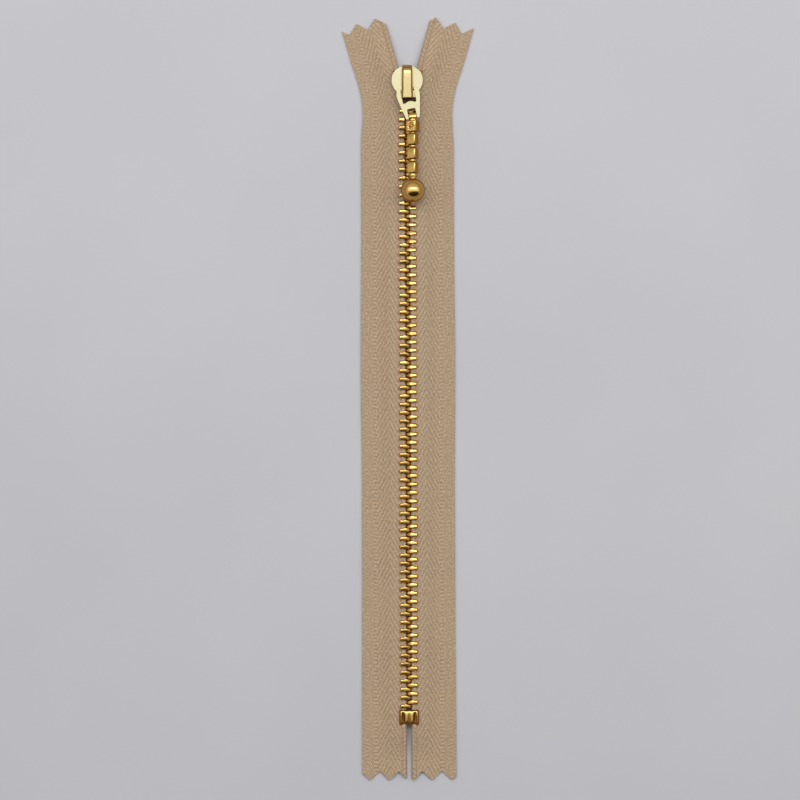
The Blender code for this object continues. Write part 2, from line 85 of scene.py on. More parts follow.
# Weave: warp ends run along the tape, picks across it
END = 0.26
PICK = 0.5
TAPE_HALF = 0.25
BEAD_RADIUS = 0.72
BEAD_MIDDLE = 1.36
BEAD_COLUMNS = 8
BEAD_ENDS = 4
WEB_X = 2.06
OUTER_X = 12.55
SHELF_X = 3.4
FLAT_X = 8.6
FLAT_Z = 0.3
DROOP_Z = 0.74
DROOP_ABOVE = (91.0, 103.0)
DROOP_BELOW = (-88.0, -98.0)
APEX_X = 5.13
LADDER_X = 8.4
LADDER_END_X = 9.4
STITCH_X = 10.9
STITCH_END_X = 11.3
EDGE_X = 12.2
EDGE_LOOP = 0.07
SWAY = 0.10
WAVE = 0.10
TWILL_STRENGTH = 0.6
PLAIN_STRENGTH = 0.7
YARN_LOW, YARN_RISE = -0.022, 0.062
GAP_LOW, GAP_RISE = -0.05, 0.02
BEAD_END_X = 2.0
DOTS_X = 2.5
EDGE_EXTRA = 0.04
PINK_PITCH = 5.2
PINK_DEPTH = 2.4
PINK_TIP = {"left_top": 3.2, "right_top": 2.2, "left_bottom": 0.15, "right_bottom": 1.0}

rng = np.random.default_rng(7)


# Materials


class Nodes:
    """A short way to write a node tree."""

    def __init__(self, tree):
        self.tree = tree

    def add(self, kind, **inputs):
        node = self.tree.nodes.new(kind)
        for key, value in inputs.items():
            self.put(node, key, value)
        return node

    def put(self, node, key, value):
        name = key.replace("_", " ")
        if hasattr(value, "is_output"):
            self.tree.links.new(value, node.inputs[name])
        else:
            node.inputs[name].default_value = value

    def shade(self, **inputs):
        for key, value in inputs.items():
            self.put(self.tree.nodes["Principled BSDF"], key, value)

    def coordinates(self, scale):
        where = self.add("ShaderNodeTexCoord")
        mapping = self.add("ShaderNodeMapping", Vector=where.outputs["Object"])
        mapping.inputs["Scale"].default_value = scale
        return mapping.outputs["Vector"]

    def noise(self, scale, vector=None, detail=3.0):
        node = self.add("ShaderNodeTexNoise", Scale=scale, Detail=detail)
        if vector is not None:
            self.tree.links.new(vector, node.inputs["Vector"])
        return node.outputs["Fac"]

    def span(self, value, low, high, start=0.0, end=1.0):
        node = self.add("ShaderNodeMapRange", Value=value)
        node.inputs["From Min"].default_value = start
        node.inputs["From Max"].default_value = end
        node.inputs["To Min"].default_value = low
        node.inputs["To Max"].default_value = high
        return node.outputs["Result"]

    def ramp(self, value, *stops):
        node = self.add("ShaderNodeValToRGB", Fac=value)
        elements = node.color_ramp.elements
        while len(elements) < len(stops):
            elements.new(0.5)
        for element, (place, colour) in zip(elements, stops):
            element.position = place
            element.color = (*colour, 1.0)
        return node.outputs["Color"]

    def mix(self, share, low, high, how="MIX"):
        node = self.tree.nodes.new("ShaderNodeMix")
        node.data_type = "RGBA"
        node.blend_type = how
        for socket, value in ((node.inputs[0], share), (node.inputs[6], low), (node.inputs[7], high)):
            if hasattr(value, "is_output"):
                self.tree.links.new(value, socket)
            elif isinstance(value, tuple):
                socket.default_value = (*value, 1.0)
            else:
                socket.default_value = value
        return node.outputs[2]

    def bump(self, height, strength, distance, below=None):
        node = self.add("ShaderNodeBump", Height=height, Strength=strength, Distance=distance)
        if below is not None:
            self.tree.links.new(below, node.inputs["Normal"])
        return node.outputs["Normal"]


def fresh(name):
    """A new material and its nodes."""
    material = bpy.data.materials.new(name)
    material.use_nodes = True
    return material, Nodes(material.node_tree)


def woven(name):
    """Polyester yarn with painted shade, darker between yarns and under the picks; uneven along each yarn,
    with fine filaments.
    """
    material, n = fresh(name)
    height = n.add("ShaderNodeAttribute")
    height.attribute_name = "weave"
    uv = n.add("ShaderNodeUVMap")
    uv.uv_map = "Cloth"
    stretched = n.add("ShaderNodeMapping", Vector=uv.outputs["UV"])
    stretched.inputs["Scale"].default_value = (1.0, 0.45, 1.0)
    yarns = n.noise(2600, stretched.outputs["Vector"], 2.0)
    filaments = n.noise(16000, stretched.outputs["Vector"], 2.0)
    patches = n.noise(70, uv.outputs["UV"], 2.0)
    # Painted shade: the weave attribute runs from a dark colour between yarns to the yarn's own colour on the
    # floats.
    base = n.ramp(
        height.outputs["Fac"],
        (0.0, (0.215, 0.146, 0.088)),
        (0.45, (0.420, 0.300, 0.192)),
        (1.0, (0.680, 0.508, 0.345)),
    )
    base = n.mix(n.span(yarns, 0.0, 0.30, 0.42, 0.72), base, (0.72, 0.56, 0.395))
    base = n.mix(n.span(patches, 0.0, 0.22, 0.3, 0.7), base, (0.52, 0.385, 0.235))
    flecks = n.ramp(
        n.noise(2300, uv.outputs["UV"], 1.0),
        (0.36, (0.88, 0.875, 0.87)),
        (0.50, (0.99, 0.99, 0.99)),
        (0.64, (1.23, 1.24, 1.25)),
    )
    base = n.mix(1.0, base, flecks, "MULTIPLY")
    relief = n.bump(filaments, 0.35, 0.00003)
    n.shade(
        Base_Color=base,
        Roughness=n.span(yarns, 0.62, 0.84),
        Normal=n.bump(yarns, 0.3, 0.00006, relief),
        Sheen_Weight=0.12,
        Sheen_Roughness=0.5,
        Specular_IOR_Level=0.35,
    )
    return material


def gold(name, light, hollow_shade, rough, grain=900.0, dull=0.1, reach=0.7, side=None, turned=(0.72, 0.96)):
    """Gold plate with painted shade: a darker colour in its hollows where ambient occlusion finds them, and a
    browner one on faces that turn away from above, with a slightly rippled polish.
    """
    material, n = fresh(name)
    where = n.coordinates((1.0, 1.0, 1.0))
    cloud = n.noise(160, where, 2.0)
    scratches = n.noise(grain, where, 4.0)
    # Painted shade: ambient occlusion mixes in the colour for hollows near other surfaces.
    hollow = n.add("ShaderNodeAmbientOcclusion")
    hollow.inputs["Distance"].default_value = reach * MM
    hollow.samples = 6
    open_share = n.span(hollow.outputs["AO"], 0.0, 1.0, 0.25, 0.85)
    between = tuple(0.5 * (a + b) for a, b in zip(light, hollow_shade))
    colour = n.mix(n.span(cloud, 0.0, 0.35, 0.35, 0.7), light, between)
    # Painted shade: the side colour on faces turning away from above.
    if side is not None:
        facing = n.add("ShaderNodeNewGeometry").outputs["Normal"]
        upward = n.add("ShaderNodeSeparateXYZ", Vector=facing).outputs["Z"]
        colour = n.mix(n.span(upward, 0.0, 1.0, *turned), side, colour)
    colour = n.mix(open_share, hollow_shade, colour)
    ripple = n.bump(cloud, 0.12, 0.00012)
    n.shade(
        Base_Color=colour,
        Metallic=1.0,
        Roughness=n.span(scratches, rough, rough + dull, 0.3, 0.75),
        Normal=n.bump(scratches, 0.12, 0.00002, ripple),
    )
    return material


def spring_steel():
    """Strip with a brushed grain along it."""
    material, n = fresh("spring_steel_strip")
    where = n.coordinates((6.0, 0.4, 1.0))
    brushed = n.noise(1500, where, 3.0)
    n.shade(
        Base_Color=n.mix(n.span(brushed, 0.0, 1.0), (0.50, 0.48, 0.45), (0.66, 0.64, 0.60)),
        Metallic=1.0,
        Roughness=n.span(brushed, 0.28, 0.42),
        Normal=n.bump(brushed, 0.2, 0.00002),
    )
    return material


CLOTH = woven("herringbone_tape")
# In the materials below, the colour for hollows is painted shade in hollows, gaps and grooves, and the side
# colour is painted shade on faces turning away from above.
TOOTH_GOLD = gold(
    "tooth_brass",
    light=(0.88, 0.575, 0.17),
    hollow_shade=(0.50, 0.26, 0.075),
    rough=0.13,
    grain=1400.0,
    side=(0.60, 0.33, 0.09),
)
STOP_GOLD = gold(
    "stop_brass",
    light=(0.86, 0.57, 0.17),
    hollow_shade=(0.10, 0.042, 0.010),
    rough=0.14,
    grain=1100.0,
    reach=2.0,
    side=(0.34, 0.15, 0.03),
    turned=(0.82, 0.98),
)
SLIDER_GOLD = gold(
    "slider_plate",
    light=(0.71, 0.665, 0.41),
    hollow_shade=(0.42, 0.26, 0.08),
    rough=0.10,
    grain=700.0,
    dull=0.06,
    side=(0.62, 0.46, 0.18),
)
CROWN_GOLD = gold(
    "crown_plate",
    light=(0.70, 0.57, 0.28),
    hollow_shade=(0.20, 0.09, 0.02),
    rough=0.10,
    grain=700.0,
    dull=0.06,
    reach=1.2,
    side=(0.46, 0.27, 0.08),
)
PULL_GOLD = gold(
    "pull_brass",
    light=(0.86, 0.55, 0.17),
    hollow_shade=(0.26, 0.11, 0.02),
    rough=0.08,
    dull=0.07,
    side=(0.36, 0.20, 0.05),
    turned=(0.35, 0.82),
)
# Painted shadow: a near-black finish for the slider's rear and the tongue under the link, where the chain
# below lies in shade.
PAINTED_SHADOW_GOLD = gold(
    "slider_painted_shadow",
    light=(0.10, 0.06, 0.025),
    hollow_shade=(0.03, 0.016, 0.006),
    rough=0.5,
    grain=700.0,
    dull=0.2,
)
STEEL = spring_steel()


# Meshes

METAL_SMOOTH = 50.0
CLOTH_SMOOTH = 60.0
CAST_SMOOTH = 42.0


def finished(name, verts, faces, material):
    """One mesh object from points in millimetres."""
    mesh = bpy.data.meshes.new(name)
    mesh.from_pydata((np.asarray(verts, float) * MM).tolist(), [], faces)
    mesh.validate()
    bm = bmesh.new()
    bm.from_mesh(mesh)
    bmesh.ops.recalc_face_normals(bm, faces=bm.faces)
    bm.to_mesh(mesh)
    bm.free()
    return placed(name, mesh, material, METAL_SMOOTH)


def placed(name, mesh, material, smooth):
    """The mesh as a named piece, smooth up to the given angle in degrees."""
    obj = bpy.data.objects.new(name, mesh)
    bpy.context.scene.collection.objects.link(obj)
    mesh.materials.clear()
    mesh.materials.append(material)
    mesh.shade_smooth()
    mesh.set_sharp_from_angle(angle=math.radians(smooth))
    return obj


def hinge_y(sign, number):
    """Where a stringer's hinge stands along the chain. The right row is half a pitch out of step."""
    half_step = 0.5 if sign > 0 else 0.0
    return FIRST_TOOTH + (HINGE_AFTER[number] - half_step) * PITCH


def smoothstep(t):
    t = np.clip(t, 0.0, 1.0)
    return t * t * (3.0 - 2.0 * t)


def splayed(points, sign):
    """Right-hand points turned out past the last hinge, then put on their own side."""
    points = np.array(points, float)
    low, high = LENGTHS[-1][2:]
    wider = np.clip(points[:, 0] / OUTER_X, 0.0, 1.0)
    low, high = low - TURN_EARLIER * wider, high + TURN_LATER * wider
    angle = -SPLAY * smoothstep((points[:, 1] - low) / (high - low))
    x, y = points[:, 0] - BEAD_X, points[:, 1] - hinge_y(sign, 4)
    points[:, 0] = BEAD_X + x * np.cos(angle) - y * np.sin(angle)
    points[:, 1] = hinge_y(sign, 4) + x * np.sin(angle) + y * np.cos(angle)
    points[:, 0] *= sign
    return points


def covered(side, kind, number):
    """The frame's nodes that one length of tape or teeth stands for."""
    names = (("foot",), ("1",), ("2",), ("3",), ("4", "tail"))[number]
    return [f"{side}_{kind}_{name}" for name in names]


def blended(obj):
    """Bakes the length's placement into its mesh."""
    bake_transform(obj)


# Tape


def cloth_middle(x, y):
    """Height of the cloth's middle: level beside the chain, down to the table, and drooping at the ends."""
    droop = 0.0
    for start, end in (DROOP_ABOVE, DROOP_BELOW):
        droop = droop + smoothstep((y - start) / (end - start))
    chain = CHAIN_Z + (DROOP_Z - CHAIN_Z) * droop
    flat = FLAT_Z + WAVE * (1 + np.sin(0.11 * y + 0.4)) * smoothstep((x - 10.0) / 2.6)
    return chain + (flat - chain) * smoothstep((x - SHELF_X) / (FLAT_X - SHELF_X))


def cloth_columns():
    """Across the face from the bead's inner side: x, rise over the middle, outward normal, warp end."""
    columns = []
    for step in range(BEAD_COLUMNS):
        angle = math.radians(180 - 20 * step)
        across, up = math.cos(angle), math.sin(angle)
        columns.append((BEAD_MIDDLE + BEAD_RADIUS * across, BEAD_RADIUS * up, across, up, step / 2))
    width = OUTER_X - WEB_X
    count = int(width / (END / 2)) // 2 * 2
    for step in range(count + 1):
        columns.append((WEB_X + step * width / count, TAPE_HALF, 0.0, 1.0, BEAD_ENDS + step / 2))
    return np.array(columns)


def weave_height(x, end, y):
    """From 0, under the picks, to 1, floating over them."""
    whole = np.floor(end)
    cycle_twill = y / (4 * PICK)
    cycle_plain = y / (2 * PICK)
    from_apex = whole - np.floor((APEX_X - WEB_X) / END + BEAD_ENDS)
    phase = np.where(x < APEX_X, cycle_twill - from_apex / 4, cycle_twill + from_apex / 4)
    phase = np.where(x < DOTS_X, cycle_plain + whole / 2, phase)
    phase = np.where(x < BEAD_END_X, cycle_plain * 0.8 + end / 5, phase)
    arch = ((x - (LADDER_X + LADDER_END_X) / 2) / (LADDER_END_X - LADDER_X)) ** 2
    phase = np.where(x > LADDER_X, cycle_plain + 1.2 * arch, phase)
    phase = np.where(x > LADDER_END_X, cycle_plain + whole / 2, phase)
    phase = np.where(x > STITCH_X, cycle_plain, phase)
    phase = np.where(x > STITCH_END_X, cycle_plain + whole / 2, phase)
    strength = np.where(x < LADDER_X, TWILL_STRENGTH, 1.0)
    strength = np.where((x > LADDER_END_X) & ((x < STITCH_X) | (x > STITCH_END_X)), PLAIN_STRENGTH, strength)
    return 0.5 + 0.5 * strength * np.tanh(2.0 * np.cos(2 * math.pi * phase)) / math.tanh(2.0)


def pinked(x, tip):
    """How far the zigzag cut goes into the tape at x, from none at a tip."""
    turns = (x - tip) / PINK_PITCH
    return PINK_DEPTH * 2 * np.abs(turns - np.round(turns))


def cloth_face(columns, ys, ends, up):
    """Points of one face of a length of tape, row by row, with the painted shade of their weave and their
    flat places.
    """
    x = np.tile(columns[:, 0], (len(ys), 1))
    y = np.tile(ys[:, None], (1, len(columns)))
    y = np.clip(y, ends[0][None, :], ends[1][None, :])
    end = columns[:, 4][None, :]
    height = weave_height(x, end, y)
    crest = np.where(end % 1.0 < 0.25, 1.0, 0.0) * np.ones_like(x)
    relief = np.where(crest > 0.5, YARN_LOW + YARN_RISE * height, GAP_LOW + GAP_RISE * height)
    # Painted shade: darker in the gaps between warp ends and where ends pass under picks, lighter on the
    # floats.
    weave_shade = np.where(crest > 0.5, 0.30 + 0.70 * height, 0.05 + 0.35 * height)
    edge = smoothstep((x - EDGE_X) / (OUTER_X - EDGE_X)) * EDGE_LOOP * np.cos(2 * math.pi * y / (2 * PICK))
    sway = SWAY * np.sin(0.063 * y + 1.0) * smoothstep((x - 9.0) / 3.5)
    points = np.stack(
        [
            x + relief * columns[:, 2] + edge + sway,
            y,
            cloth_middle(x, y) + up * (columns[:, 1] + relief * columns[:, 3]),
        ],
        axis=-1,
    )
    return points, weave_shade, np.stack([x, y], axis=-1)


def tape(side, sign, number):
    """One length of tape with its bead: the piece, its flat size and the area of its face."""
    low, high = LENGTHS[number][:2]
    face = cloth_columns()
    back = face[::2]
    low_end = np.full(len(face), low)
    high_end = np.full(len(face), high)
    if number == 0:
        low_end = low + pinked(face[:, 0], PINK_TIP[f"{side}_bottom"])
    if number == 4:
        high_end = high - pinked(face[:, 0], PINK_TIP[f"{side}_top"])
    rows = int(round((high - low) / (PICK / 2)))
    ys = np.linspace(low, high, rows + 1)
    top, top_shade, top_uv = cloth_face(face, ys, (low_end, high_end), 1)
    under, under_shade, under_uv = cloth_face(back, ys, (low_end[::2], high_end[::2]), -1)
    under, under_shade, under_uv = under[:, ::-1], under_shade[:, ::-1], under_uv[:, ::-1]
    ring = len(face) + len(back)
    points = np.concatenate([top, under], axis=1).reshape(-1, 3)
    weave_shade = np.concatenate([top_shade, under_shade], axis=1).reshape(-1)
    uv = np.concatenate([top_uv, under_uv], axis=1).reshape(-1, 2)
    here = np.arange(ring)
    after = (here + 1) % ring
    starts = (np.arange(rows) * ring)[:, None]
    quads = np.stack([starts + here, starts + after, starts + after + ring, starts + here + ring], axis=-1)
    faces = quads.reshape(-1, 4).tolist()
    for base, flip in ((0, False), (rows * ring, True)):
        for column in range(len(back) - 1):
            first = base + 2 * column
            below = base + ring - 1 - column
            cap = [first, first + 1, first + 2, below - 1, below]
            faces.append(cap[::-1] if flip else cap)
    points = splayed(points, sign)

    mesh = bpy.data.meshes.new(f"{side}_woven_tape_{number + 1}")
    mesh.from_pydata((points * MM).tolist(), [], faces)
    mesh.attributes.new("weave", "FLOAT", "POINT").data.foreach_set("value", weave_shade.astype(np.float32))
    corner = np.zeros(len(mesh.loops), np.int32)
    mesh.loops.foreach_get("vertex_index", corner)
    layer = mesh.uv_layers.new(name="Cloth")
    layer.data.foreach_set("uv", (uv[corner] * MM).astype(np.float32).ravel())
    bm = bmesh.new()
    bm.from_mesh(mesh)
    bmesh.ops.remove_doubles(bm, verts=bm.verts, dist=2e-6)
    bmesh.ops.dissolve_degenerate(bm, dist=1e-7, edges=bm.edges)
    bmesh.ops.recalc_face_normals(bm, faces=bm.faces)
    bm.to_mesh(mesh)
    bm.free()
    obj = placed(mesh.name, mesh, CLOTH, CLOTH_SMOOTH)
    blended(obj)
    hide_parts(*covered(side, "tape", number))
    width = OUTER_X - (BEAD_MIDDLE - BEAD_RADIUS)
    area = float(np.trapz(high_end - low_end, face[:, 0])) + EDGE_EXTRA * (high - low)
    return obj, (width * MM, (high - low) * MM), min(area, width * (high - low)) * MM * MM


# Teeth

# Sections of one tooth from its heel to its tip: x, half its width and half its height
TOOTH_STATIONS = (
    (2.46, 0.22, 0.60),
    (2.42, 0.42, 0.90),
    (2.28, 0.57, 1.06),
    (2.05, 0.62, 1.13),
    (1.80, 0.59, 1.13),
    (1.60, 0.56, 1.13),
    (1.40, 0.60, 1.15),
    (1.15, 0.67, 1.19),
    (0.92, 0.67, 1.21),
    (0.68, 0.64, 1.20),
    (0.42, 0.57, 1.13),
    (0.18, 0.54, 1.00),
    (-0.08, 0.54, 0.87),
    (-0.30, 0.50, 0.74),
    (-0.48, 0.40, 0.58),
    (-0.60, 0.22, 0.36),
)
TOOTH_CORNER = 0.29
TOOTH_CROWN = 0.02
HEEL_CROWN = 0.07
HEEL_X = (1.2, 1.9)
# How far each side's teeth lean out of level: at the middle of the chain, and the change along it
TOOTH_TWIST = {-1: (0.08, -0.0002), 1: (-0.17, -0.0009)}
CORNER_STEPS = 4
TOOTH_RING = 4 * CORNER_STEPS + 2


def tooth_section(half_y, half_z, crown):
    """A rounded upright block seen along the tooth, from its middle top round: pairs of y and z."""
    corner = min(TOOTH_CORNER, 0.6 * half_y, 0.6 * half_z)
    quarter = []
    for step in range(CORNER_STEPS):
        angle = math.pi / 2 * (1 - step / (CORNER_STEPS - 1))
        y = half_y - corner + corner * math.cos(angle)
        z = half_z - corner + corner * math.sin(angle) - crown * (y / half_y) ** 2
        quarter.append((y, z))
    right = quarter + [(y, -z) for y, z in reversed(quarter)]
    return [(0.0, half_z)] + right + [(0.0, -half_z)] + [(-y, z) for y, z in reversed(right)]


def tooth(y, sign):
    """One stamped tooth: a heel over the bead, a waist and a broad head with a low tip."""
    lean = math.radians(rng.normal(0.0, 1.6))
    shift = rng.normal(0.0, 0.02)
    rise = rng.normal(0.0, 0.03)
    size = 1 + rng.normal(0.0, 0.02)
    wave = math.sin(0.23 * y + sign)
    start, drift = TOOTH_TWIST[sign]
    twist = start + drift * y
    roll = twist + 0.02 * wave + rng.normal(0.0, 0.045)
    dip = rng.normal(0.0, 0.05)
    points = []
    for x, half_y, half_z in TOOTH_STATIONS:
        crown = TOOTH_CROWN + HEEL_CROWN * smoothstep((x - HEEL_X[0]) / (HEEL_X[1] - HEEL_X[0]))
        for py, pz in tooth_section(half_y * size, half_z, crown):
            turned = roll * py + dip * (x - 1.0)
            across = y + shift + py + (x - BEAD_X) * math.sin(lean)
            points.append((x, across, CHAIN_Z + rise + pz + turned))
    return points


def tooth_faces(base):
    """Faces of a tooth whose points start at base: its skin and its two ends."""
    faces = []
    for station in range(len(TOOTH_STATIONS) - 1):
        low = base + station * TOOTH_RING
        for step in range(TOOTH_RING):
            after = (step + 1) % TOOTH_RING
            faces.append((low + step, low + after, low + TOOTH_RING + after, low + TOOTH_RING + step))
    last = base + (len(TOOTH_STATIONS) - 1) * TOOTH_RING
    faces.append(tuple(base + step for step in reversed(range(TOOTH_RING))))
    faces.append(tuple(last + step for step in range(TOOTH_RING)))
    return faces


def teeth(side, sign, number):
    """The teeth of one length of stringer."""
    low, high = LENGTHS[number][:2]
    offset = 0.5 if sign > 0 else 0.0
    points, faces = [], []
    for count in range(CHAIN_TEETH + TAIL_TEETH - (1 if sign > 0 else 0)):
        y = FIRST_TOOTH + (count + offset) * PITCH
        if low <= y < high:
            faces += tooth_faces(len(points))
            points += tooth(y, sign)
    name = f"{side}_stamped_teeth_{number + 1}"
    obj = finished(name, splayed(points, sign), faces, TOOTH_GOLD)
    evened(obj)
    blended(obj)
    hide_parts(*covered(side, "teeth", number))
    return obj


# Stops

PILLOW_ROUNDNESS = 0.35
PILLOW_DRAW = 0.04
STOP_RAISE = 0.3
STOP_DEEPEST = 0.8
GROOVE_X = 1.60
GROOVE_HALF = 0.62
GROOVE_DEPTH = 0.68
TOP_STOP_LENGTH = 1.7
TOOTH_HALF = 0.67


def pillow(low, high, top, columns, rows):
    """A closed block between two corners with rounded sides. top(x, y) lowers or raises its upper face."""
    middle = [(a + b) / 2 for a, b in zip(low, high)]
    half = [(b - a) / 2 for a, b in zip(low, high)]
    points, faces = [], []
    for up in (1, -1):
        for i in range(rows + 1):
            v = math.sin(math.pi / 2 * (2 * i / rows - 1))
            for j in range(columns + 1):
                u = math.sin(math.pi / 2 * (2 * j / columns - 1))
                fall = ((1 - abs(u) ** 6) * (1 - abs(v) ** 6)) ** PILLOW_ROUNDNESS
                draw = 1 - PILLOW_DRAW * (1 - fall)
                x = middle[0] + half[0] * u * draw
                y = middle[1] + half[1] * v * draw
                z = middle[2] + up * half[2] * fall
                if up > 0:
                    z += top(x, y) * fall
                points.append((x, y, z))
    size = (rows + 1) * (columns + 1)
    for i in range(rows):
        for j in range(columns):
            a = i * (columns + 1) + j
            quad = (a, a + 1, a + columns + 2, a + columns + 1)
            faces.append(quad)
            faces.append(tuple(size + k for k in reversed(quad)))
    return points, faces


def closed(name, points, faces, material):
    """A pillow's two skins joined along their rim."""
    obj = finished(name, points, faces, material)
    bm = bmesh.new()
    bm.from_mesh(obj.data)
    bmesh.ops.remove_doubles(bm, verts=bm.verts, dist=2e-6)
    bmesh.ops.recalc_face_normals(bm, faces=bm.faces)
    bm.to_mesh(obj.data)
    bm.free()
    return obj


def bottom_stop():
    """The staple across both chains: two grooves, a crease down the middle and a lip at its upper end."""
    low, high = (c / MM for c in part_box("bottom_stop"))
    high.z += STOP_RAISE

    def top(x, y):
        along = (y - low.y) / (high.y - low.y)
        below_lip = 1 - smoothstep((along - 0.58) / 0.36)
        grooves = GROOVE_DEPTH * max(0.0, 1 - abs(abs(x) - GROOVE_X) / GROOVE_HALF) * below_lip
        crease_width = 0.28 + 0.45 * (1 - along)
        crease = (0.10 + 0.45 * (1 - along)) * max(0.0, 1 - abs(x) / crease_width)
        bow = 0.6 * (along - 0.55) ** 2 + 0.5 * smoothstep((0.16 - along) / 0.16)
        depth = grooves + crease * (0.2 + 0.8 * below_lip) + bow
        return -STOP_DEEPEST * math.tanh(depth / STOP_DEEPEST)

    points, faces = pillow(low, high, top, 56, 30)
    obj = closed("bottom_stop_clamp", points, faces, STOP_GOLD)
    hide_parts("bottom_stop")
    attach(obj, "base")


def top_stop(side, sign):
    """The clamp over the bead's end, straight first and then turned with the frame's tail."""
    y = hinge_y(-1, 4) + (TAIL_TEETH - 0.5) * PITCH + TOOTH_HALF
    low, high = (0.5, y, 0.9), (2.4, y + TOP_STOP_LENGTH, 3.3)

    def top(x, y):
        return -0.3 * math.exp(-(((x - BEAD_X) / 0.25) ** 2))

    points, faces = pillow(low, high, top, 16, 14)
    points = np.array(points)
    turn = Matrix.Rotation(-SPLAY, 3, "Z")
    pivot = Vector((BEAD_X, hinge_y(sign, 4), 0.0))
    points = np.array([tuple(turn @ (Vector(p) - pivot) + pivot) for p in points])
    points[:, 0] *= sign
    obj = closed(f"{side}_top_stop_clamp", points, faces, STOP_GOLD)
    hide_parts(f"{side}_top_stop")
    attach(obj, f"{side}_tail")


# Solids with cuts and rounded edges


def loft(rings):
    """A closed skin through rings of equal point counts, as (points, faces)."""
    count = len(rings[0])
    points = [p for ring in rings for p in ring]
    faces = []
    for low in range(0, (len(rings) - 1) * count, count):
        for here in range(count):
            after = (here + 1) % count
            faces.append((low + here, low + after, low + count + after, low + count + here))
    faces.append(tuple(reversed(range(count))))
    faces.append(tuple(range(len(points) - count, len(points))))
    return points, faces


def prism(outline, low, high):
    """An outline in x and y, raised from one height to another."""
    return loft([[(x, y, z) for x, y in outline] for z in (low, high)])


def block(low, high):
    """A box between two corners."""
    outline = [(low[0], low[1]), (high[0], low[1]), (high[0], high[1]), (low[0], high[1])]
    return prism(outline, low[2], high[2])


def tube(start, end, radius, sides=24):
    """A round bar from one point to another."""
    along = Vector(end) - Vector(start)
    turn = along.to_track_quat("Z", "Y").to_matrix()
    rings = []
    for share in (0.0, 1.0):
        ring = []
        for step in range(sides):
            angle = 2 * math.pi * step / sides
            spoke = turn @ Vector((radius * math.cos(angle), radius * math.sin(angle), 0.0))
            ring.append(tuple(Vector(start) + along * share + spoke))
        rings.append(ring)
    return loft(rings)


def raw(shape):
    """A shape's points and faces as a bare object, for building with."""
    points, faces = shape
    mesh = bpy.data.meshes.new("shape")
    mesh.from_pydata((np.asarray(points, float) * MM).tolist(), [], faces)
    bm = bmesh.new()
    bm.from_mesh(mesh)
    bmesh.ops.recalc_face_normals(bm, faces=bm.faces)
    bm.to_mesh(mesh)
    bm.free()
    obj = bpy.data.objects.new("shape", mesh)
    bpy.context.scene.collection.objects.link(obj)
    return obj


def applied(obj):
    """The object's mesh with its modifiers in it."""
    evaluated = obj.evaluated_get(bpy.context.evaluated_depsgraph_get())
    mesh = bpy.data.meshes.new_from_object(evaluated)
    old = obj.data
    obj.modifiers.clear()
    obj.data = mesh
    bpy.data.meshes.remove(old)


def cut(obj, shapes, operation="DIFFERENCE"):
    """Takes each shape out of the object, or adds it."""
    for shape in shapes:
        tool = raw(shape)
        modifier = obj.modifiers.new("cut", "BOOLEAN")
        modifier.operation = operation
        modifier.solver = "EXACT"
        modifier.object = tool
        bpy.context.view_layer.update()
        applied(obj)
        bpy.data.objects.remove(tool, do_unlink=True)


def rounded(obj, name, width, material, segments=3, angle=28.0):
    """Rounds the sharp edges and gives the piece its name and finish."""
    modifier = obj.modifiers.new("edges", "BEVEL")
    modifier.width = width * MM
    modifier.segments = segments
    modifier.limit_method = "ANGLE"
    modifier.angle_limit = math.radians(angle)
    bpy.context.view_layer.update()
    applied(obj)
    mesh = obj.data
    mesh.name = name
    mesh.materials.clear()
    mesh.materials.append(material)
    mesh.shade_smooth()
    mesh.set_sharp_from_angle(angle=math.radians(CAST_SMOOTH))
    obj.name = name


def evened(obj):
    """Flat faces keep their flat shading beside rounded edges."""
    modifier = obj.modifiers.new("even", "WEIGHTED_NORMAL")
    modifier.keep_sharp = True
    modifier.weight = 90
    bpy.context.view_layer.update()
    name = obj.data.name
    applied(obj)
    obj.data.name = name


def mirrored(right):
    """A right-hand outline closed with its mirror image. Points on x = 0 aren't doubled."""
    return right + [(-x, y) for x, y in reversed(right) if x > 1e-6]


# Slider

REAR_Y = 81.3
WAIST = 1.1
TONGUE_Y = 79.5
TONGUE_HALF = 2.3
SHOULDER_Y = 85.9
SHOULDER_R = 4.2
SLIDER_TOP = 4.2
PLATE = 0.7
REAR_HALF = 2.85
REAR_CORNER = 0.25
NECK_DEGREES = -36.0
FRONT_FALL = 0.35
POST_TIP = 86.1
POST_GAP = 0.02
TAPE_SLOT_HALF = 0.55
TONGUE_LOW = 3.62
TONGUE_HIGH = 3.92
PRONG_HOLE = ((0.55, 81.66, 3.0), (1.19, 82.5, 5.0))


def slider_outline():
    """Plate from above: square rear, waist, an S-shaped neck and round shoulders."""
    neck_start = Vector((REAR_HALF, REAR_Y + WAIST - 0.2))
    right = [(REAR_HALF - REAR_CORNER, REAR_Y), (REAR_HALF, REAR_Y + REAR_CORNER), tuple(neck_start)]
    angle = math.radians(NECK_DEGREES)
    neck_stop = Vector((SHOULDER_R * math.cos(angle), SHOULDER_Y + SHOULDER_R * math.sin(angle)))
    tangent = Vector((-math.sin(angle), math.cos(angle)))
    for step in range(1, 8):
        t = step / 8
        a, b = neck_start, neck_start + Vector((0.0, 0.7))
        c, d = neck_stop - tangent * 0.6, neck_stop
        point = (1 - t) ** 3 * a + 3 * (1 - t) ** 2 * t * b + 3 * (1 - t) * t * t * c + t**3 * d
        right.append((point.x, point.y))
    steps = 26
    for step in range(steps + 1):
        angle = math.radians(NECK_DEGREES + (90 - NECK_DEGREES) * step / steps)
        x = SHOULDER_R * math.cos(angle) if step < steps else 0.0
        fall = FRONT_FALL * max(0.0, math.sin(angle)) ** 3
        right.append((x, SHOULDER_Y + SHOULDER_R * math.sin(angle) - fall))
    return mirrored(right)


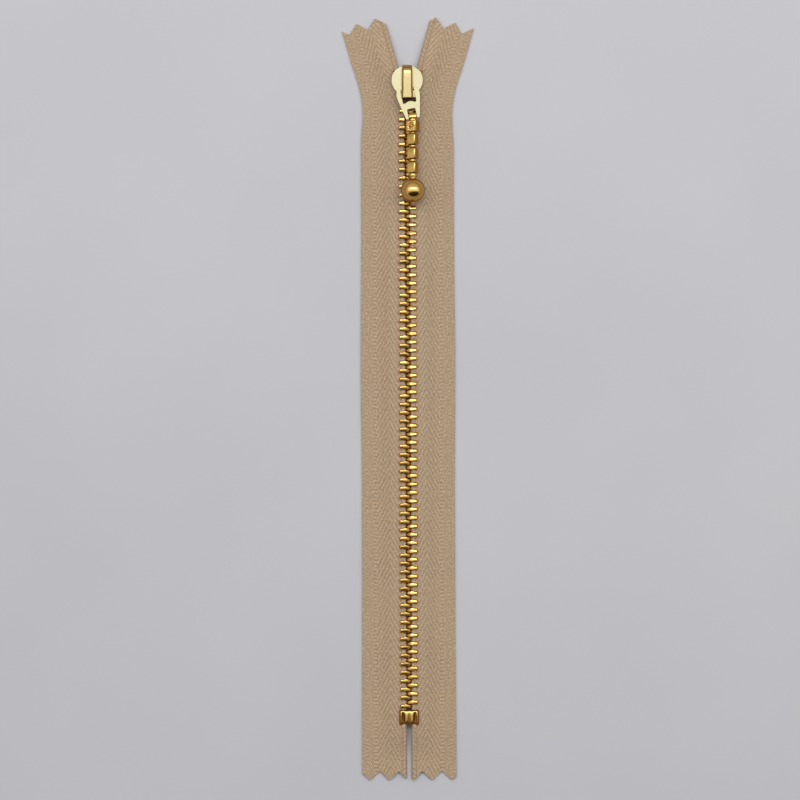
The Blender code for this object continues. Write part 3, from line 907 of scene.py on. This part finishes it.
def slider_casting():
    """Two plates, the flanges and the post between them, and a tongue at the rear in a dark painted-shadow
    finish.
    """
    obj = raw(prism(slider_outline(), 0.0, SLIDER_TOP))
    front = SHOULDER_Y + SHOULDER_R + 1.0
    post = []
    for share in (1.0, 0.75, 0.5, 0.25):
        ahead = (front - POST_TIP) * share
        post.append((ahead * math.tan(SPLAY) + POST_GAP, POST_TIP + ahead))
    post += [(0.06, POST_TIP + 0.2), (0.0, POST_TIP)]
    channel = [
        (2.55, REAR_Y - 1.0),
        (2.55, REAR_Y + 1.4),
        (2.95, REAR_Y + 2.1),
        (3.44, SHOULDER_Y - 1.68),
        (3.82, SHOULDER_Y),
        (6.2, SHOULDER_Y + 1.9),
        (6.2, front),
    ]
    slot = [(6.2, REAR_Y - 1.0), (6.2, front)]
    cut(
        obj,
        (
            prism(mirrored(channel + post), PLATE, SLIDER_TOP - PLATE),
            prism(mirrored(slot + post), CHAIN_Z - TAPE_SLOT_HALF, CHAIN_Z + TAPE_SLOT_HALF),
        ),
    )
    rounded(obj, "slider_casting", 0.28, SLIDER_GOLD)
    cut(obj, (block(*PRONG_HOLE),))
    obj.data.materials.append(PAINTED_SHADOW_GOLD)
    tongue = block((-TONGUE_HALF, TONGUE_Y, TONGUE_LOW), (TONGUE_HALF, REAR_Y + 0.6, TONGUE_HIGH))
    cut(obj, (tongue,), "UNION")
    # The rear faces and the tongue take the painted-shadow finish, flat shaded.
    for face in obj.data.polygons:
        if max(obj.data.vertices[v].co.y for v in face.vertices) < (REAR_Y + 0.05) * MM:
            face.material_index = 1
            face.use_smooth = False
    evened(obj)
    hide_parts("slider_body")
    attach(obj, "slider")


def crown_section(y, width, top_z, base_z, flat):
    """Upright sides, round shoulders and a flat top."""
    half, corner = width / 2, (width - flat) / 2
    points = [(half, y, base_z)]
    for step in range(7):
        angle = math.pi / 2 * step / 6
        fall = 1.1 * corner * (1 - math.sin(angle))
        points.append((half - corner + corner * math.cos(angle), y, top_z - fall))
    points += [(-x, y, z) for x, y, z in reversed(points)]
    return points


def crown():
    """The bridge over the pawl, hollow below and with a slot through it for the link's crossbar."""
    base = SLIDER_TOP + 0.03
    rings = []
    for y, width, top, flat in (
        (80.98, 3.06, 6.66, 1.50),
        (81.05, 3.12, 6.79, 1.50),
        (81.3, 3.14, 6.82, 1.50),
        (81.8, 3.14, 6.80, 1.48),
        (83.4, 3.06, 6.78, 1.22),
        (86.0, 2.92, 6.76, 1.40),
        (88.0, 2.80, 6.74, 1.34),
        (88.7, 2.76, 6.60, 1.30),
        (89.3, 2.68, 6.20, 1.22),
        (89.75, 2.56, 5.55, 1.34),
        (89.98, 2.46, 4.90, 1.22),
    ):
        rings.append(crown_section(y, width, top, base, flat))
    obj = raw(loft(rings))
    cut(
        obj,
        (
            block((-1.05, 80.0, 3.0), (1.05, 88.7, 6.2)),
            block((-2.0, 82.3, 3.0), (2.0, 84.1, 5.5)),
        ),
    )
    rounded(obj, "crown_cover", 0.09, CROWN_GOLD, 2)
    evened(obj)
    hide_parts("crown_cap")
    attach(obj, "slider")


# Pull

LINK_HINGE = Vector((0.0, 83.2, 5.0))
LINK_YAW = math.radians(11.5)
STICK_HINGE = 7.35
STICK_RISE = math.radians(4.7)
STICK_ROLL = math.radians(-28)
STICK_SIDES = 56
BAR_RADIUS = 0.4
EYE_RADIUS = 1.0
EYE_HOLE = 0.55
EYE_HALF = 0.9
BALL_MIDDLE = 19.95
BALL_RADIUS = 3.3
FACET_START = 4.72
FACET_STEP = 3.85
ROSETTE_X = 0.28
ROSETTE_Y = -2.62
DISH_Z = 1.34
STUD_Z = 1.30
STUD_CIRCLE = 0.67

# Widths of the stick at places along it: from the hinge, or for a facet from its own start
KNOB = ((1.05, 2.2), (1.1, 2.6), (1.22, 2.84), (1.4, 2.9), (3.8, 2.9), (4.0, 2.84), (4.12, 2.6), (4.17, 2.2))
FACET = ((0.0, 1.8), (0.06, 2.2), (0.2, 2.36), (2.6, 2.36), (2.74, 2.2), (2.8, 1.8))
COLLAR = ((15.32, 1.75), (15.42, 2.25), (15.6, 2.45), (16.1, 2.45), (16.25, 2.3), (16.3, 1.8), (16.8, 1.7))


def link_place():
    """From the pull's own axes to the frame's: the hinge, and the pull's turn to one side."""
    return Matrix.Translation(LINK_HINGE * MM) @ Matrix.Rotation(LINK_YAW, 4, "Z")


def pull_link():
    """A tapered frame with two windows and a bar across each."""
    right = [
        (1.72, -7.8),
        (1.9, -7.62),
        (1.96, -7.2),
        (2.58, -4.4),
        (3.04, -2.2),
        (3.14, -1.5),
        (3.14, -0.9),
        (2.96, -0.2),
        (2.70, 0.26),
        (2.36, 0.42),
    ]
    obj = raw(prism(mirrored(right), -0.45, 0.45))
    upper = [(1.87, 1.0), (1.87, -3.25), (1.74, -3.5), (1.4, -3.58), (0.95, -3.38), (0.5, -3.18), (0.0, -3.1)]
    lower = [(1.15, -9.0), (1.15, -7.0), (1.15, -5.35), (1.0, -5.15), (0.0, -5.1)]
    cut(obj, (prism(mirrored(upper), -1.0, 1.0), prism(mirrored(lower), -1.0, 1.0)))
    cut(
        obj,
        (
            tube((-2.15, 0, 0), (2.15, 0, 0), BAR_RADIUS),
            tube((-1.45, -STICK_HINGE, 0), (1.45, -STICK_HINGE, 0), BAR_RADIUS),
        ),
        "UNION",
    )
    rounded(obj, "pull_link_frame", 0.13, SLIDER_GOLD)
    evened(obj)
    obj.data.transform(link_place())
    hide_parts("pull_link")
    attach(obj, "link")


def stick_ring(along, width, square):
    """A ring across the stick: round where square is 2, and the squarer the higher it is."""
    points = []
    for step in range(STICK_SIDES):
        angle = 2 * math.pi * (step + 0.5) / STICK_SIDES
        c, s = math.cos(angle), math.sin(angle)
        radius = width / 2 / (abs(c) ** square + abs(s) ** square) ** (1 / square)
        point = Matrix.Rotation(STICK_ROLL, 3, "Y") @ Vector((radius * c, 0.0, radius * s))
        points.append((point.x, -along, point.z))
    return points


def bead_ring(rings, start, end, narrow, wide):
    """Adds one of the stick's turned rings."""
    for step in range(7):
        t = step / 6
        bulge = math.sin(math.pi * t) ** 0.6
        rings.append(stick_ring(start + (end - start) * t, narrow + (wide - narrow) * bulge, 2.0))


def stick_profile():
    """Rings from the eye to the ball: knob, three facets with rings between them, collar and ball."""
    rings = [stick_ring(0.62, 1.5, 2.0), stick_ring(0.72, 2.0, 2.0), stick_ring(1.0, 2.05, 2.0)]
    for along, width in KNOB:
        rings.append(stick_ring(along, width, 12.0))
    bead_ring(rings, 4.2, 4.68, 1.8, 2.2)
    for number in range(3):
        start = FACET_START + number * FACET_STEP
        for along, width in FACET:
            rings.append(stick_ring(start + along, width, 16.0))
        if number < 2:
            bead_ring(rings, start + 2.9, start + 3.75, 1.65, 2.12)
    for along, width in COLLAR:
        rings.append(stick_ring(along, width, 2.0))
    for degrees in range(150, -1, -6):
        angle = math.radians(degrees)
        along = BALL_MIDDLE - BALL_RADIUS * math.cos(math.pi - angle)
        rings.append(stick_ring(along, max(2 * BALL_RADIUS * math.sin(angle), 0.02), 2.0))
    return rings


def face_ring(x, y, z, radius, steps):
    """A circle over the knob's face, which is rolled with the stick."""
    face = Matrix.Rotation(STICK_ROLL, 3, "Y")
    ring = []
    for step in range(steps):
        angle = 2 * math.pi * step / steps
        ring.append(tuple(face @ Vector((x + radius * math.cos(angle), y + radius * math.sin(angle), z))))
    return ring


def pull_stick():
    """The stick with its eye round the link's lower bar and the rosette on its knob."""
    obj = raw(loft(stick_profile()))
    turn = Matrix.Rotation(-LINK_YAW, 4, "Z") @ Matrix.Rotation(-STICK_RISE, 4, "X")
    side_view = ((0.0, -0.3), (0.0, 0.95), (0.4, 0.92), (1.5, 0.25), (1.5, -0.1))
    neck = [[(x, y, z) for y, z in side_view] for x in (-EYE_HALF, EYE_HALF)]
    eye = tube((-EYE_HALF, 0, 0), (EYE_HALF, 0, 0), EYE_RADIUS, 32)
    cut(obj, (eye, loft(neck)), "UNION")
    cut(obj, (tube((-2, 0, 0), (2, 0, 0), EYE_HOLE, 32),))
    dish = []
    for radius, high in ((0.96, 0.0), (1.06, 0.12), (1.06, 0.4)):
        dish.append(face_ring(ROSETTE_X, ROSETTE_Y, DISH_Z + high, radius, 28))
    cut(obj, (loft(dish),))
    studs = [(ROSETTE_X, 0.0, 0.36)]
    for number in range(6):
        angle = math.pi / 3 * number
        studs.append((ROSETTE_X + STUD_CIRCLE * math.cos(angle), STUD_CIRCLE * math.sin(angle), 0.25))
    for x, y, radius in studs:
        rings = []
        for share, high in ((1.0, -0.3), (1.0, 0.0), (0.85, 0.10), (0.5, 0.17), (0.05, 0.2)):
            rings.append(face_ring(x, ROSETTE_Y + y, STUD_Z + high * 1.6, radius * share, 12))
        cut(obj, (loft(rings),), "UNION")
    rounded(obj, "pull_stick_casting", 0.05, PULL_GOLD, 2, 38.0)
    obj.data.transform(link_place() @ Matrix.Translation((0, -STICK_HINGE * MM, 0)) @ turn)
    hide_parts("pull_stick")
    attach(obj, "stick")


# Stage

VIEW_HEIGHT = 2.0
VIEW_WIDTH = 0.216
SENSOR = 36.0
DARK_SQUEEZE = 0.4


def table():
    """A pale, slightly uneven table top."""
    material, n = fresh("table_top")
    where = n.coordinates((1.0, 1.0, 1.0))
    haze = n.noise(14, where, 2.0)
    grain = n.noise(900, where, 2.0)
    n.shade(
        Base_Color=n.mix(n.span(haze, 0.0, 1.0, 0.3, 0.7), (0.555, 0.560, 0.605), (0.585, 0.588, 0.625)),
        Roughness=n.span(haze, 0.34, 0.42),
        Normal=n.bump(grain, 0.06, 0.00004),
        Specular_IOR_Level=0.4,
    )
    mesh = bpy.data.meshes.new("table_top")
    mesh.from_pydata([(-3, -3, 0), (3, -3, 0), (3, 3, 0), (-3, 3, 0)], [], [(0, 1, 2, 3)])
    mesh.materials.append(material)
    top = bpy.data.objects.new("table_top", mesh)
    bpy.context.scene.collection.objects.link(top)
    top.location.z = -0.00002


def room():
    """Pale walls and ceiling, warmer low down, with one dark patch that shows in the polish."""
    world = bpy.data.worlds.new("room")
    world.use_nodes = True
    sky = Nodes(world.node_tree)
    way = sky.add("ShaderNodeTexCoord").outputs["Generated"]
    height = sky.add("ShaderNodeSeparateXYZ", Vector=way).outputs["Z"]
    squeezed = sky.add("ShaderNodeMapping", Vector=way)
    squeezed.inputs["Scale"].default_value = (DARK_SQUEEZE, 1.0, 1.0)
    squeezed.vector_type = "VECTOR"
    ray = sky.tree.nodes.new("ShaderNodeVectorMath")
    ray.operation = "NORMALIZE"
    sky.tree.links.new(squeezed.outputs["Vector"], ray.inputs[0])
    dark = sky.tree.nodes.new("ShaderNodeVectorMath")
    dark.operation = "DOT_PRODUCT"
    sky.tree.links.new(ray.outputs["Vector"], dark.inputs[0])
    dark.inputs[1].default_value = Vector((DARK_SQUEEZE * 0.20, -0.62, 0.74)).normalized()
    light = sky.ramp(
        height,
        (0.0, (0.34, 0.28, 0.21)),
        (0.25, (0.36, 0.32, 0.27)),
        (0.6, (0.63, 0.62, 0.60)),
        (1.0, (0.53, 0.53, 0.535)),
    )
    shade = sky.span(dark.outputs["Value"], 0.0, 1.0, 0.86, 0.94)
    light = sky.mix(shade, light, (0.035, 0.025, 0.02))
    background = world.node_tree.nodes["Background"]
    sky.put(background, "Color", light)
    background.inputs["Strength"].default_value = 1.0
    bpy.context.scene.world = world


def lights():
    """A wide soft box above, a brighter strip in front of it, and a fill that metal doesn't mirror."""
    for name, place, size, radiance, seen in (
        ("above", (0.1, 0.32, 1.0), (2.5, 0.70), 0.66, True),
        ("lamp", (0.12, 0.38, 0.93), (1.1, 0.26), 3.4, True),
        ("fill", (0.0, 0.1, 1.2), (1.6, 1.2), 0.37, False),
    ):
        lamp_data = bpy.data.lights.new(name, "AREA")
        lamp_data.shape = "RECTANGLE"
        lamp_data.size, lamp_data.size_y = size
        lamp_data.energy = radiance * math.pi * size[0] * size[1]
        lamp = bpy.data.objects.new(name, lamp_data)
        lamp.location = place
        lamp.visible_camera = False
        lamp.visible_glossy = seen
        bpy.context.scene.collection.objects.link(lamp)


def camera():
    """Straight above, from far off."""
    lens = bpy.data.cameras.new("camera")
    lens.sensor_width = SENSOR
    lens.lens = SENSOR * VIEW_HEIGHT / VIEW_WIDTH
    lens.clip_start = 0.01
    eye = bpy.data.objects.new("camera", lens)
    eye.location = (-0.0022, -0.0003, VIEW_HEIGHT)
    eye.rotation_euler.z = math.radians(-0.18)
    bpy.context.scene.collection.objects.link(eye)
    bpy.context.scene.camera = eye
    bpy.context.scene.view_settings.view_transform = "Standard"


for side, sign in SIDES:
    for number in range(len(LENGTHS)):
        cloth, flat, area = tape(side, sign, number)
        row = teeth(side, sign, number)
    top_stop(side, sign)
bottom_stop()
slider_casting()
crown()
pull_link()
pull_stick()
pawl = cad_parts["lock_pawl"]
pawl.data.materials.clear()
pawl.data.materials.append(STEEL)
table()
room()
lights()
camera()
